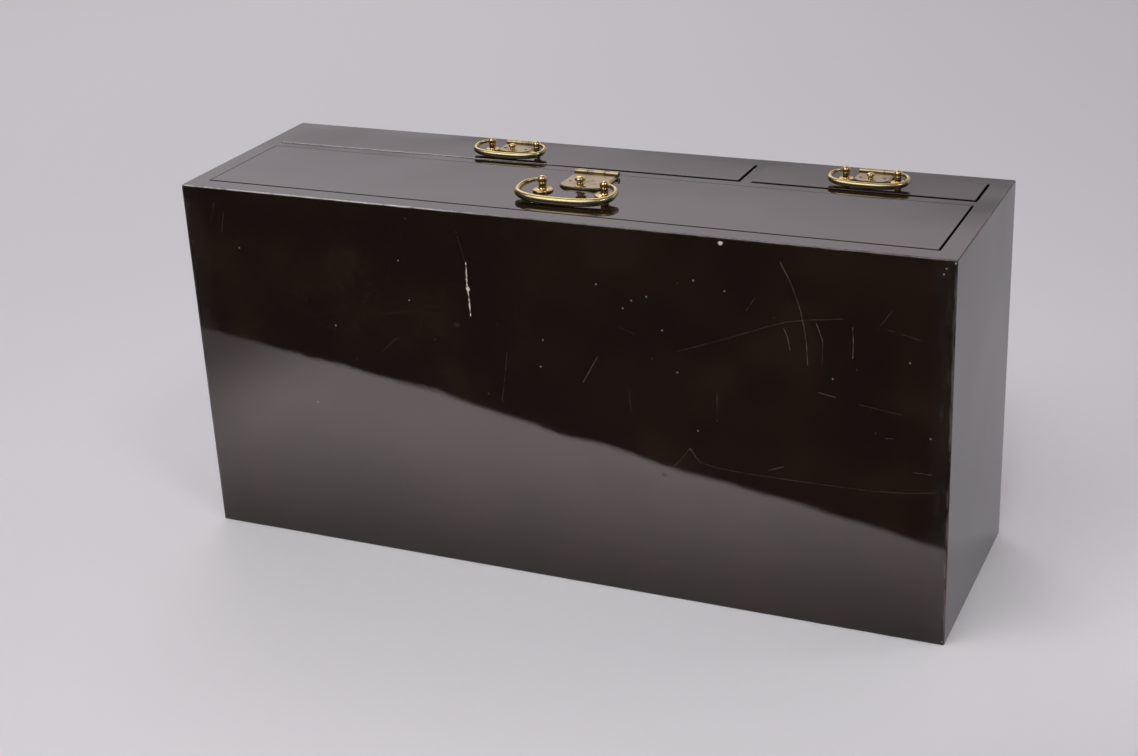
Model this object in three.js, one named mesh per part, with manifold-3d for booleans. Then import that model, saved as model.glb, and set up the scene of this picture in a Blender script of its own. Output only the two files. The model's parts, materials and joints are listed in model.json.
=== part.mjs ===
// A lacquered wooden writing box with three drawers and brass pulls, lying on its back, drawer fronts up.
// Millimetres. +X runs along the box, +Y from its base to its top, +Z from its back to its front.
// The origin is the middle of the back, on the surface that the box lies on.
import * as THREE from "three";
import { mergeVertices } from "three/addons/utils/BufferGeometryUtils.js";
import Module from "manifold-3d";

const wasm = await Module();
wasm.setup();

// Driving dimensions of the case
const LENGTH = 450; // end to end
const HEIGHT = 134; // base to top
const DEPTH = 216; // back to front
const WALL = 11.5; // base, top and end boards
const PARTITION = 6.5; // shelf and divider
const BACK_BOARD = 8;
const UPPER_OPENING = 31.75; // clear height of the upper row
const SMALL_OPENING = 125; // clear length of the right-hand upper opening

// Driving dimensions of the drawers
const REVEAL = 0.75; // gap all round a drawer front that sits in the middle of its opening
const REAR_GAP = 1; // between a drawer and the back board
const FRONT_BOARD = 12;
const SIDE_BOARD = 7;
const BOTTOM_BOARD = 5;
const SIDE_SETBACK = 1; // sides stand in from the ends of the front
const SIDE_DROP = 3; // sides stop below the upper edge of the front
const UPPER_PROUD = 0.5; // the upper drawers don't go quite home
const SLIP_X = -0.5; // drawers lie off the middle of their openings
const SLIP_Y = 0.5;

// Running gap between brass pieces that turn on each other
const PLAY = 0.3;

// Driving dimensions of the two sizes of pull, measured out from the drawer front
const LARGE_PULL = {
  postSpan: 37.2, // between post centres
  pivotHeight: 6.4,
  ballRadius: 2.5,
  rosetteRadius: 5.8,
  pinRadius: 1.2,
  bailWidth: 56.4, // centre line, end to end
  bailDrop: 22.2, // centre line, pivot to the far side of the loop
  bailMidRadius: 2.3,
  barrelOffset: 33, // hinge axis of the lock cover above the posts
  barrelRadius: 1.6,
  coverTopWidth: 26,
  coverWidth: 28,
  coverShoulder: 21.3, // hinge axis to the widest point
  coverLength: 26.6, // hinge axis to the lower edge
  coverFootWidth: 14.6,
  leafInset: 0.5, // the fixed sheet stands in from the edge of the cover
  knobDrop: 23.6, // hinge axis to the knob
  knobRadius: 3.1,
};
const SMALL_PULL = {
  postSpan: 29,
  pivotHeight: 5.2,
  ballRadius: 2.2,
  rosetteRadius: 4.2,
  pinRadius: 1,
  bailWidth: 43,
  bailDrop: 14.6,
  bailMidRadius: 1.8,
  barrelOffset: 11.5,
  barrelRadius: 1.5,
  coverTopWidth: 19.7,
  coverWidth: 20.4,
  coverShoulder: 12.4,
  coverLength: 16.6,
  coverFootWidth: 10.6,
  leafInset: 1.2,
  knobDrop: 14.2,
  knobRadius: 2.3,
};
const BAIL_POWER = 2.6; // exponent of the loop's rounded-oval outline
const BAIL_REST_GAP = 0.5; // between the resting loop and the drawer front
const BAIL_SIDES = 10;
const BAIL_STEPS = 34;
const ROUND_SIDES = 16;
const LEAF = 0.4; // brass sheet fixed to the drawer
const COVER_GAP = 0.3; // between that sheet and the swinging cover
const COVER = 0.75; // thickness of the swinging cover

// Where each pull stands on its drawer front
const LONG_PULL_SHIFT = 1.5; // posts against the middle of the front's length
const WIDE_PULL_SHIFT = 1.5;
const SMALL_PULL_SHIFT = 0.75;
const LONG_POST_RISE = -1.5; // posts against the middle of the front's height
const UPPER_POST_RISE = 3;

// Levels that follow from the driving dimensions
const INNER_END = LENGTH / 2 - WALL;
const INNER_BASE = -HEIGHT / 2 + WALL;
const INNER_TOP = HEIGHT / 2 - WALL;
const SHELF_TOP = INNER_TOP - UPPER_OPENING;
const SHELF_UNDER = SHELF_TOP - PARTITION;
const DIVIDER_RIGHT = INNER_END - SMALL_OPENING;
const DIVIDER_LEFT = DIVIDER_RIGHT - PARTITION;

// Finishes
const lacquer = new THREE.MeshStandardMaterial({ color: 0x1c1512, roughness: 0.14, metalness: 0 });
const innerLacquer = new THREE.MeshStandardMaterial({ color: 0x16110f, roughness: 0.4, metalness: 0 });
const brass = new THREE.MeshStandardMaterial({ color: 0xb8975a, roughness: 0.26, metalness: 1 });

// A closed geometry as a solid that can be joined and cut.
function solidOf(geometry) {
  const bare = geometry.index ? geometry.toNonIndexed() : geometry.clone();
  bare.deleteAttribute("normal");
  bare.deleteAttribute("uv");
  const merged = mergeVertices(bare, 1e-4);
  const vertProperties = new Float32Array(merged.attributes.position.array);
  const triVerts = new Uint32Array(merged.index.array);
  return new wasm.Manifold(new wasm.Mesh({ numProp: 3, vertProperties, triVerts }));
}

function geometryOf(solid) {
  const mesh = solid.getMesh();
  const geometry = new THREE.BufferGeometry();
  geometry.setAttribute("position", new THREE.BufferAttribute(mesh.vertProperties, 3));
  geometry.setIndex(new THREE.BufferAttribute(mesh.triVerts, 1));
  geometry.computeVertexNormals();
  return geometry;
}

function piece(name, geometry, material, x = 0, y = 0, z = 0) {
  const mesh = new THREE.Mesh(geometry, material.clone());
  mesh.name = name;
  mesh.position.set(x, y, z);
  return mesh;
}

// A board between two opposite corners.
function board(name, material, low, high) {
  const size = high.map((value, axis) => value - low[axis]);
  const middle = high.map((value, axis) => (value + low[axis]) / 2);
  return piece(name, new THREE.BoxGeometry(...size), material, ...middle);
}

// Points on an arc of a turned profile, as radius and height, with angles in degrees from the horizontal.
// The arc is round, or an ellipse with its own half height.
function profileArc(radius, height, from, to, steps, halfHeight = radius) {
  const points = [];
  for (let step = 0; step <= steps; step++) {
    const degrees = from + ((to - from) * step) / steps;
    const angle = THREE.MathUtils.degToRad(degrees);
    points.push([degrees === 90 ? 0 : radius * Math.cos(angle), height + halfHeight * Math.sin(angle)]);
  }
  return points;
}

// A turned piece that stands along +Z.
function turned(profile) {
  const points = profile.map(([radius, height]) => new THREE.Vector2(radius, height));
  return new THREE.LatheGeometry(points, ROUND_SIDES).rotateX(Math.PI / 2);
}

// A round bar along X, from one place to another.
function barAlongX(radius, from, to, y, z) {
  const bar = new THREE.CylinderGeometry(radius, radius, to - from, ROUND_SIDES).rotateZ(Math.PI / 2);
  return bar.translate((from + to) / 2, y, z);
}

// The case: base, top, two ends, back, the shelf under the upper row and the divider between its drawers
function makeCase() {
  const group = new THREE.Group();
  const end = LENGTH / 2;
  const face = HEIGHT / 2;
  group.add(board("case_base", lacquer, [-end, -face, 0], [end, INNER_BASE, DEPTH]));
  group.add(board("case_top", lacquer, [-end, INNER_TOP, 0], [end, face, DEPTH]));
  group.add(board("case_left_end", lacquer, [-end, INNER_BASE, 0], [-INNER_END, INNER_TOP, DEPTH]));
  group.add(board("case_right_end", lacquer, [INNER_END, INNER_BASE, 0], [end, INNER_TOP, DEPTH]));
  group.add(board("case_back", lacquer, [-INNER_END, INNER_BASE, 0], [INNER_END, INNER_TOP, BACK_BOARD]));
  group.add(
    board("case_shelf", lacquer, [-INNER_END, SHELF_UNDER, BACK_BOARD], [INNER_END, SHELF_TOP, DEPTH]),
  );
  group.add(
    board("case_divider", lacquer, [DIVIDER_LEFT, SHELF_TOP, BACK_BOARD], [DIVIDER_RIGHT, INNER_TOP, DEPTH]),
  );
  return group;
}

// One drawer in its opening in the case's front: a front, two sides, a back and a bottom
function makeDrawerBox(name, [left, right, under, over], proud) {
  const group = new THREE.Group();
  const [x0, x1] = [left + REVEAL + SLIP_X, right - REVEAL + SLIP_X];
  const [y0, y1] = [under + REVEAL + SLIP_Y, over - REVEAL + SLIP_Y];
  const [s0, s1] = [x0 + SIDE_SETBACK, x1 - SIDE_SETBACK];
  const rear = BACK_BOARD + REAR_GAP + proud;
  const front = DEPTH + proud;
  const behindFront = front - FRONT_BOARD;
  const floor = y0 + BOTTOM_BOARD;
  const rim = y1 - SIDE_DROP;
  group.add(board(`${name}_front`, lacquer, [x0, y0, behindFront], [x1, y1, front]));
  group.add(board(`${name}_bottom`, innerLacquer, [s0, y0, rear], [s1, floor, behindFront]));
  const [b0, b1] = [s0 + SIDE_BOARD, s1 - SIDE_BOARD];
  group.add(board(`${name}_left_side`, innerLacquer, [s0, floor, rear], [b0, rim, behindFront]));
  group.add(board(`${name}_right_side`, innerLacquer, [b1, floor, rear], [s1, rim, behindFront]));
  group.add(board(`${name}_back`, innerLacquer, [b0, floor, rear], [b1, rim, rear + SIDE_BOARD]));
  return group;
}

// A post: rosette with a thick rim, short stem and a ball, which is drilled along X for the bail's pin
function makePost(pull, outward) {
  const { ballRadius: ball, rosetteRadius: rosette, pivotHeight: height, pinRadius: pin } = pull;
  const stem = 0.76 * ball;
  const profile = [
    [0, 0],
    [rosette, 0],
    [rosette, 0.14 * rosette],
    [0.9 * rosette, 0.23 * rosette],
    [0.62 * rosette, 0.26 * rosette],
    [0.46 * rosette, 0.33 * rosette],
    [stem, 0.48 * height],
    ...profileArc(ball, height, -40, 90, 6),
  ];
  const hole = barAlongX(pin + PLAY, -0.3 * ball, 2 * ball, 0, height);
  if (outward < 0) hole.rotateZ(Math.PI);
  return geometryOf(solidOf(turned(profile)).subtract(solidOf(hole)));
}

// Centre line of half a bail in its own plane, from its pin to the middle of the loop: a straight pin
// along X, then a rounded oval |x/a|^n + |y/b|^n = 1 that starts level with the pin
function bailHalfLine(pull) {
  const a = pull.bailWidth / 2;
  const start = pull.postSpan / 2 + 0.8 * pull.ballRadius;
  const rise = (1 - (start / a) ** BAIL_POWER) ** (1 / BAIL_POWER);
  const b = pull.bailDrop / (1 + rise);
  const first = -Math.asin(rise ** (BAIL_POWER / 2));
  const points = [new THREE.Vector3(start - 0.95 * pull.ballRadius, 0, 0)];
  for (let step = 0; step <= BAIL_STEPS / 2; step++) {
    const angle = first + ((Math.PI / 2 - first) * step) / (BAIL_STEPS / 2);
    const x = a * Math.abs(Math.cos(angle)) ** (2 / BAIL_POWER);
    const y = -b * Math.sign(Math.sin(angle)) * Math.abs(Math.sin(angle)) ** (2 / BAIL_POWER) - b * rise;
    points.push(new THREE.Vector3(x, y, 0));
  }
  return points;
}

// The bail: a cast loop with round sections, thick in the middle and tapering to its two pins
function makeBail(pull) {
  const half = bailHalfLine(pull);
  const mirrored = half.slice(0, -1).map((point) => new THREE.Vector3(-point.x, point.y, 0));
  const line = [...half, ...mirrored.reverse()];
  const last = line.length - 1;
  const positions = [];
  line.forEach((point, index) => {
    const ahead = line[Math.min(index + 1, last)];
    const behind = line[Math.max(index - 1, 0)];
    const along = new THREE.Vector3().subVectors(ahead, behind).normalize();
    const across = new THREE.Vector3(-along.y, along.x, 0);
    const share = 1 - Math.abs(index / (last / 2) - 1);
    const radius = THREE.MathUtils.lerp(
      pull.pinRadius,
      pull.bailMidRadius,
      THREE.MathUtils.smoothstep(share, 0.1, 0.8),
    );
    for (let side = 0; side < BAIL_SIDES; side++) {
      const angle = (2 * Math.PI * side) / BAIL_SIDES;
      const offset = across.clone().multiplyScalar(radius * Math.cos(angle));
      positions.push(point.x + offset.x, point.y + offset.y, radius * Math.sin(angle));
    }
  });
  const faces = [];
  for (let ring = 0; ring < last; ring++) {
    for (let side = 0; side < BAIL_SIDES; side++) {
      const here = ring * BAIL_SIDES + side;
      const next = ring * BAIL_SIDES + ((side + 1) % BAIL_SIDES);
      faces.push(here, next, here + BAIL_SIDES, next, next + BAIL_SIDES, here + BAIL_SIDES);
    }
  }
  const end = last * BAIL_SIDES;
  for (let side = 1; side < BAIL_SIDES - 1; side++) {
    faces.push(0, side + 1, side);
    faces.push(end, end + side, end + side + 1);
  }
  const geometry = new THREE.BufferGeometry();
  geometry.setAttribute("position", new THREE.Float32BufferAttribute(positions, 3));
  geometry.setIndex(faces);
  geometry.computeVertexNormals();
  return geometry;
}

// Sizes of the lock cover's hinge that follow from the pull
function hingeOf(pull) {
  const radius = pull.barrelRadius;
  return {
    radius,
    axisHeight: radius + PLAY,
    pin: 0.4 * radius,
    bore: 0.4 * radius + PLAY,
    half: pull.coverTopWidth / 2 + 0.3,
    middleHalf: 0.2 * pull.coverTopWidth,
    clear: radius + 0.4,
  };
}

// A flat sheet of this outline and thickness.
function sheetOf(outline, depth) {
  return new THREE.ExtrudeGeometry(outline, { depth, bevelEnabled: false, curveSegments: 6 });
}

// Outline of a lock sheet below its hinge, from the left side to the right and all in by an inset: widening
// sides, clipped lower corners and a slightly bowed lower edge
function drawLockSides(outline, pull, inset) {
  const wide = pull.coverWidth / 2 - inset;
  const foot = pull.coverFootWidth / 2 - inset;
  const shoulder = inset - pull.coverShoulder;
  const lowest = inset - pull.coverLength;
  const bow = 0.08 * foot;
  const corner = [(wide + foot) / 2 + 0.12 * foot, lowest + 0.1 * foot];
  outline.lineTo(-wide, shoulder);
  outline.quadraticCurveTo(-corner[0], corner[1], -foot, lowest + bow);
  outline.quadraticCurveTo(0, lowest - bow, foot, lowest + bow);
  outline.quadraticCurveTo(corner[0], corner[1], wide, shoulder);
}

// The sheet that is fixed to the drawer front under the cover, with the hinge's outer knuckles and its pin
function makeLockPlate(pull) {
  const hinge = hingeOf(pull);
  const outline = new THREE.Shape();
  const top = pull.coverTopWidth / 2 - pull.leafInset;
  outline.moveTo(top, 0);
  outline.lineTo(-top, 0);
  drawLockSides(outline, pull, pull.leafInset);
  const sheet = sheetOf(outline, LEAF);
  const room = hinge.middleHalf + PLAY;
  const notch = new THREE.BoxGeometry(2 * room, 2 * hinge.clear, 4 * hinge.radius);
  let plate = solidOf(sheet).subtract(solidOf(notch));
  for (const side of [-1, 1]) {
    const [near, far] = [side * room, side * hinge.half].sort((p, q) => p - q);
    plate = plate.add(solidOf(barAlongX(hinge.radius, near, far, 0, hinge.axisHeight)));
  }
  plate = plate.add(solidOf(barAlongX(hinge.pin, -hinge.half, hinge.half, 0, hinge.axisHeight)));
  return geometryOf(plate);
}

// The swinging cover: the sheet above the fixed one, with the hinge's middle knuckle
function makeLockCover(pull) {
  const hinge = hingeOf(pull);
  const outline = new THREE.Shape();
  outline.moveTo(pull.coverTopWidth / 2, -hinge.clear);
  outline.lineTo(hinge.middleHalf, -hinge.clear);
  outline.lineTo(hinge.middleHalf, 0);
  outline.lineTo(-hinge.middleHalf, 0);
  outline.lineTo(-hinge.middleHalf, -hinge.clear);
  outline.lineTo(-pull.coverTopWidth / 2, -hinge.clear);
  drawLockSides(outline, pull, 0);
  const sheet = sheetOf(outline, COVER).translate(0, 0, LEAF + COVER_GAP);
  const bore = solidOf(barAlongX(hinge.bore, -hinge.half, hinge.half, 0, hinge.axisHeight));
  const knuckle = barAlongX(hinge.radius, -hinge.middleHalf, hinge.middleHalf, 0, hinge.axisHeight);
  return geometryOf(solidOf(sheet).add(solidOf(knuckle)).subtract(bore));
}

// The cover's finger knob: a collar, a small lobe and a flattened head, turned in one
function makeKnob(pull) {
  const head = pull.knobRadius;
  const profile = [
    [0, 0],
    [1.06 * head, 0],
    [1.06 * head, 0.1 * head],
    [0.85 * head, 0.2 * head],
    ...profileArc(0.74 * head, 0.5 * head, -40, 40, 4, 0.4 * head),
    ...profileArc(head, 1.3 * head, -50, 90, 6, 0.55 * head),
  ];
  return turned(profile);
}

// One pull with its lock cover, standing on a drawer front, about the middle of its posts
function makePull(name, pull, x, y, z) {
  const group = new THREE.Group();
  group.position.set(x, y, z);
  for (const [word, side] of [["left", -1], ["right", 1]]) {
    const post = makePost(pull, side);
    group.add(piece(`${name}_${word}_post`, post, brass, (side * pull.postSpan) / 2));
  }
  const restHeight = pull.bailMidRadius + BAIL_REST_GAP;
  const bail = piece(`${name}_bail`, makeBail(pull), brass, 0, 0, pull.pivotHeight);
  bail.rotation.x = Math.asin((pull.pivotHeight - restHeight) / pull.bailDrop);
  group.add(bail);
  const lock = new THREE.Group();
  lock.position.set(0, pull.barrelOffset, 0);
  lock.add(piece(`${name}_lock_plate`, makeLockPlate(pull), brass));
  lock.add(piece(`${name}_lock_cover`, makeLockCover(pull), brass));
  const coverFace = LEAF + COVER_GAP + COVER;
  lock.add(piece(`${name}_lock_knob`, makeKnob(pull), brass, 0, -pull.knobDrop, coverFace));
  group.add(lock);
  return group;
}

// The drawers: name, pull, the pull's place against the middle of the opening, the opening in the case,
// and how far the drawer's front stands out of it
const DRAWERS = [
  {
    name: "long_drawer",
    pull: LARGE_PULL,
    offset: [LONG_PULL_SHIFT, LONG_POST_RISE],
    opening: [-INNER_END, INNER_END, INNER_BASE, SHELF_UNDER],
    proud: 0,
  },
  {
    name: "wide_drawer",
    pull: SMALL_PULL,
    offset: [WIDE_PULL_SHIFT, UPPER_POST_RISE],
    opening: [-INNER_END, DIVIDER_LEFT, SHELF_TOP, INNER_TOP],
    proud: UPPER_PROUD,
  },
  {
    name: "small_drawer",
    pull: SMALL_PULL,
    offset: [SMALL_PULL_SHIFT, UPPER_POST_RISE],
    opening: [DIVIDER_RIGHT, INNER_END, SHELF_TOP, INNER_TOP],
    proud: UPPER_PROUD,
  },
];

const box = new THREE.Group();
box.add(makeCase());
for (const { name, pull, offset, opening, proud } of DRAWERS) {
  const [left, right, under, over] = opening;
  const [x, y] = [(left + right) / 2 + offset[0], (under + over) / 2 + offset[1]];
  box.add(makeDrawerBox(name, opening, proud));
  box.add(makePull(name, pull, x, y, DEPTH + proud));
}

export default box;
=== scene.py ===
# %% [markdown]
# # A lacquer writing box
# The object is a wooden box under black-brown lacquer, with three drawers and brass pulls. It lies on
# its back, so the drawer fronts look up. The fixed frame gives every board, post and hinge its place.
# This lesson dresses that frame: boards get soft arrises and a polished, scratched skin, and the brass
# gets smooth rounds.

# %% The frame and its box
import json
import math

import bpy
import numpy as np
from mathutils import Matrix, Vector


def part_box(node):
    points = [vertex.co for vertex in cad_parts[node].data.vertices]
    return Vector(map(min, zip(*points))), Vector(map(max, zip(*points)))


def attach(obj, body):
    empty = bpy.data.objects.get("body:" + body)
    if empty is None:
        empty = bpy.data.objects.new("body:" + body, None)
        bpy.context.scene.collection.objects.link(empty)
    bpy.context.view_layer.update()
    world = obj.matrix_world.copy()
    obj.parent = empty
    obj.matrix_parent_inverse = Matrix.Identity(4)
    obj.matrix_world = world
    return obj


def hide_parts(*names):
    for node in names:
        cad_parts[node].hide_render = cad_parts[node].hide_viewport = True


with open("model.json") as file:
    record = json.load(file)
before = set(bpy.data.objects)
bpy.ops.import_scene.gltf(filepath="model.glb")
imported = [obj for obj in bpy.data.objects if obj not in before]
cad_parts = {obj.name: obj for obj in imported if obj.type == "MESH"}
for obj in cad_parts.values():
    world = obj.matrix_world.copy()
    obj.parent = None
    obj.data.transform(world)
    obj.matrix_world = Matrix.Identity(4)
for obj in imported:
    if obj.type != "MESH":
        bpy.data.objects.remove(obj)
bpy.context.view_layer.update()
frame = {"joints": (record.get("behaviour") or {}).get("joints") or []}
MM = 0.001
DRAWERS = ("long_drawer", "wide_drawer", "small_drawer")
JOINTS = {joint["name"]: joint for joint in frame["joints"]}


def node_box(name):
    """Lowest and highest corner of one board of the frame, in millimetres, as two arrays."""
    low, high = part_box(name)
    return np.round(np.array(low) / MM, 3), np.round(np.array(high) / MM, 3)


# %% [markdown]
# ## From arrays to pieces
# Every new piece is a set of whole arrays: points in millimetres and faces as rows of point numbers.
# One helper turns them into a mesh in metres, and says which body it rides on and which boards it
# stands for. Keeping this in one place means that no piece can forget its body.


# %% Helper that makes a piece
def make_piece(name, points, faces, body, stands_for, slot):
    """A mesh from an array of points in mm and an array of faces, riding on a body of the frame."""
    mesh = bpy.data.meshes.new(name)
    mesh.from_pydata((points * MM).tolist(), [], faces)
    mesh.polygons.foreach_set("use_smooth", np.full(len(mesh.polygons), True))
    mesh.update()
    piece = bpy.data.objects.new(name, mesh)
    bpy.context.scene.collection.objects.link(piece)
    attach(piece, body)
    if stands_for:
        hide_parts(*stands_for)
    print(f"{name}: {len(points)} points, {len(faces)} faces, rides on {body}")
    return piece


def soften(piece, width, segments=3, angle=30, by_weight=False):
    """Rounds arrises by a Bevel of that width in mm: all that are sharper than the angle, or each edge by
    its own weight. Hardened normals keep the flats flat."""
    bevel = piece.modifiers.new("soft_arrises", "BEVEL")
    bevel.width = width * MM
    bevel.segments = segments
    bevel.limit_method = "WEIGHT" if by_weight else "ANGLE"
    bevel.angle_limit = math.radians(angle)
    bevel.harden_normals = True
    return piece


# %% [markdown]
# ## Boards as one skin
# The real case is several boards, but the lacquer runs over all of them in one skin, so no joint shows.
# Joining boards with booleans would leave odd triangles. Instead, space is cut into cells at every
# board's edges, each cell is marked as wood or air, and the skin is every cell wall that has wood on
# one side and air on the other. All walls come from array comparisons, and neighbouring walls share
# their corners.


# %% Skin of a set of boards
def skin_of_boards(boards):
    """Closed skin round boards given as (low, high) corners.

    Cut planes are the boards' own faces. A cell is wood where its middle lies in any board. Along each
    axis, the difference between a cell and the next is 1 where the skin is crossed, and its sign says
    which way it looks.
    """
    corners = np.array(boards)
    cuts = [np.unique(corners[:, :, axis]) for axis in range(3)]
    middles = np.meshgrid(*[(cut[1:] + cut[:-1]) / 2 for cut in cuts], indexing="ij")
    spots = np.stack(middles, axis=-1)[..., None, :]
    wood = np.all((spots > corners[:, 0]) & (spots < corners[:, 1]), axis=-1).any(axis=-1).astype(int)
    sizes = np.array([len(cut) for cut in cuts])
    strides = np.array([sizes[1] * sizes[2], sizes[2], 1])
    walls = []
    for axis in range(3):
        step = np.diff(np.pad(wood, [(1, 1) if other == axis else (0, 0) for other in range(3)]), axis=axis)
        first, second = strides[(axis + 1) % 3], strides[(axis + 2) % 3]
        for sign in (1, -1):
            start = np.argwhere(step == sign) @ strides
            turn = [0, second, first + second, first] if sign == 1 else [0, first, first + second, second]
            walls.append(start[:, None] + np.array(turn))
    walls = np.concatenate(walls)
    grid = np.stack(np.meshgrid(*cuts, indexing="ij"), axis=-1).reshape(-1, 3)
    used, faces = np.unique(walls, return_inverse=True)
    return grid[used], faces.reshape(walls.shape).tolist()


# %% [markdown]
# ## The case
# Base, top, ends, back, shelf and divider become one lacquered skin. On the real box the arrises are
# rounded by hand to about a millimetre, which is what catches the thin bright lines along them.

# %% Weights of the arrises
def read_array(items, key, width, kind):
    """One property of all items of a mesh, as rows of this width."""
    values = np.empty(len(items) * width, kind)
    items.foreach_get(key, values)
    return values.reshape(-1, width)


def weigh_arrises(piece, inner):
    """Bevel weight of every edge: 1 on the outer arrises, the inner share elsewhere, and 0 on the flats.

    Sorting the corners by their edge puts the two faces of each edge side by side; the edge is an arris
    where their normals stand square. It is an outer one where both its ends lie on the same two faces of
    the box.
    """
    mesh = piece.data
    spots = read_array(mesh.vertices, "co", 3, np.float32)
    ends = read_array(mesh.edges, "vertices", 2, np.int32)
    normals = read_array(mesh.polygons, "normal", 3, np.float32)
    edge_of_corner = read_array(mesh.loops, "edge_index", 1, np.int32).ravel()
    sides = (np.argsort(edge_of_corner, kind="stable") // 4).reshape(-1, 2)
    square = np.abs(np.sum(normals[sides[:, 0]] * normals[sides[:, 1]], axis=1)) < 0.5
    low = np.isclose(spots, spots.min(axis=0))[ends].all(axis=1)
    high = np.isclose(spots, spots.max(axis=0))[ends].all(axis=1)
    outer = (low | high).sum(axis=1) > 1
    weight = square * np.where(outer, 1.0, inner)
    attribute = mesh.attributes.new("bevel_weight_edge", "FLOAT", "EDGE")
    attribute.data.foreach_set("value", weight.astype(np.float32))
    print(f"{piece.name}: {int(outer.sum())} outer edges, {int(square.sum())} arrises")


# %% Case
CASE_WORDS = ("base", "top", "left_end", "right_end", "back", "shelf", "divider")
CASE_BOARDS = [f"case_{word}" for word in CASE_WORDS]
ARRIS = 0.8
INNER_SHARE = 0.3

case_points, case_faces = skin_of_boards([node_box(name) for name in CASE_BOARDS])
case = make_piece("lacquered_case", case_points, case_faces, "case", CASE_BOARDS, "black_lacquer")
weigh_arrises(case, INNER_SHARE)
soften(case, ARRIS, by_weight=True)

# %% [markdown]
# ## The drawers
# Each drawer front is a lacquered board with softer arrises than the case, so the joint round it reads
# as a fine dark line with a light edge. The wide one sits a little askew in its opening, so the joint
# below it closes towards the left. Behind each is a plain open tray of thinner boards: bottom, two
# sides and a back. The tray is hidden while the drawer is shut, so it is plainer, but it has its true
# boards and hollow.

# %% Drawer fronts and trays
FRONT_ARRIS = 0.3
TRAY_ARRIS = 0.5
ASKEW = {"long_drawer": 0.0, "wide_drawer": 1.1, "small_drawer": 0.0}
fronts = []
trays = []
for drawer in DRAWERS:
    front_name = f"{drawer}_front"
    points, faces = skin_of_boards([node_box(front_name)])
    from_right = (points[:, 0].max() - points[:, 0]) / np.ptp(points[:, 0])
    points[:, 1] -= ASKEW[drawer] * from_right
    front = make_piece(f"{drawer}_face", points, faces, drawer, [front_name], "black_lacquer")
    fronts.append(soften(front, FRONT_ARRIS))
    tray_boards = [f"{drawer}_{word}" for word in ("bottom", "left_side", "right_side", "back")]
    points, faces = skin_of_boards([node_box(name) for name in tray_boards])
    tray = make_piece(f"{drawer}_tray", points, faces, drawer, tray_boards, "inner_lacquer")
    trays.append(soften(tray, TRAY_ARRIS, segments=2))

# %% [markdown]
# ## Sizes of the pulls
# The lower drawer has the large pull and the upper drawers have the small one. A pull's posts, hinge
# and bail have their places in the frame. What the frame's boxes can't say, such as the taper of the
# bail's wire, is a named size here, in millimetres, and both sizes of pull use the same shapes.

# %% Pull sizes
LARGE_PULL = {
    "pin": 1.2,
    "wire": 2.3,
    "bail_width": 56.4,
    "bail_drop": 22.2,
    "cover_top": 26.0,
    "cover_width": 28.0,
    "cover_shoulder": 21.3,
    "cover_length": 26.6,
    "cover_foot": 14.6,
    "leaf_inset": 0.5,
    "barrel": 1.6,
}
SMALL_PULL = {
    "pin": 1.0,
    "wire": 1.8,
    "bail_width": 43.0,
    "bail_drop": 14.6,
    "cover_top": 19.7,
    "cover_width": 20.4,
    "cover_shoulder": 12.4,
    "cover_length": 16.6,
    "cover_foot": 10.6,
    "leaf_inset": 1.2,
    "barrel": 1.5,
}
PULLS = {"long_drawer": LARGE_PULL, "wide_drawer": SMALL_PULL, "small_drawer": SMALL_PULL}


def joint_place(drawer, motion):
    """Where a joint of this drawer's pull turns, in mm: motion is bail_swing or cover_lift."""
    return np.array(JOINTS[f"{drawer.removesuffix('_drawer')}_{motion}"]["pos_m"]) / MM


# %% [markdown]
# ## Turned brass
# Posts and knobs were turned on a lathe: a profile spins round an axis. The profile is a list of a few
# stations with a smooth curve through them, and the surface is that curve times a circle, so it is a
# grid of two parameters, the place along the profile and the angle. The two ends lie on the axis and
# close the shape.

# %% Helpers for turned pieces
TURNS = 48


def smooth_profile(stations, steps=8):
    """A curve through stations of (radius, height): each span is a cubic whose slopes at its two ends are
    half the step between the neighbouring stations. Radii never pass below zero."""
    knots = np.asarray(stations, float)
    padded = np.vstack([knots[:1], knots, knots[-1:]])
    slopes = (padded[2:] - padded[:-2]) / 2
    t = np.linspace(0, 1, steps, endpoint=False)[None, :, None]
    a, b = knots[:-1, None], knots[1:, None]
    u, v = slopes[:-1, None], slopes[1:, None]
    spans = (2 * t**3 - 3 * t**2 + 1) * a + (t**3 - 2 * t**2 + t) * u + (3 * t**2 - 2 * t**3) * b
    spans = spans + (t**3 - t**2) * v
    curve = np.vstack([spans.reshape(-1, 2), knots[-1:]])
    curve[:, 0] = np.maximum(curve[:, 0], 0)
    return curve


def arc(radius, height, start, end, steps, rise):
    """Points of a flattened arc in degrees: radius times cosine, and height plus rise times sine."""
    angle = np.radians(np.linspace(start, end, steps))
    return np.stack([radius * np.cos(angle), height + rise * np.sin(angle)], axis=1)


def tube_faces(rings, sides):
    """Faces of a closed tube: quads between neighbouring rings, and a fan of triangles on each end, whose
    two middle points come after the points of all rings."""
    around = np.arange(sides)
    follow = (around + 1) % sides
    start = np.arange(rings - 1)[:, None] * sides
    here, beside = start + around, start + follow
    quads = np.stack([here, beside, beside + sides, here + sides], axis=-1).reshape(-1, 4)
    last, middle = (rings - 1) * sides, rings * sides
    first_fan = np.stack([np.full(sides, middle), follow, around], axis=1)
    last_fan = np.stack([np.full(sides, middle + 1), last + around, last + follow], axis=1)
    return quads.tolist() + first_fan.tolist() + last_fan.tolist()


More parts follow.
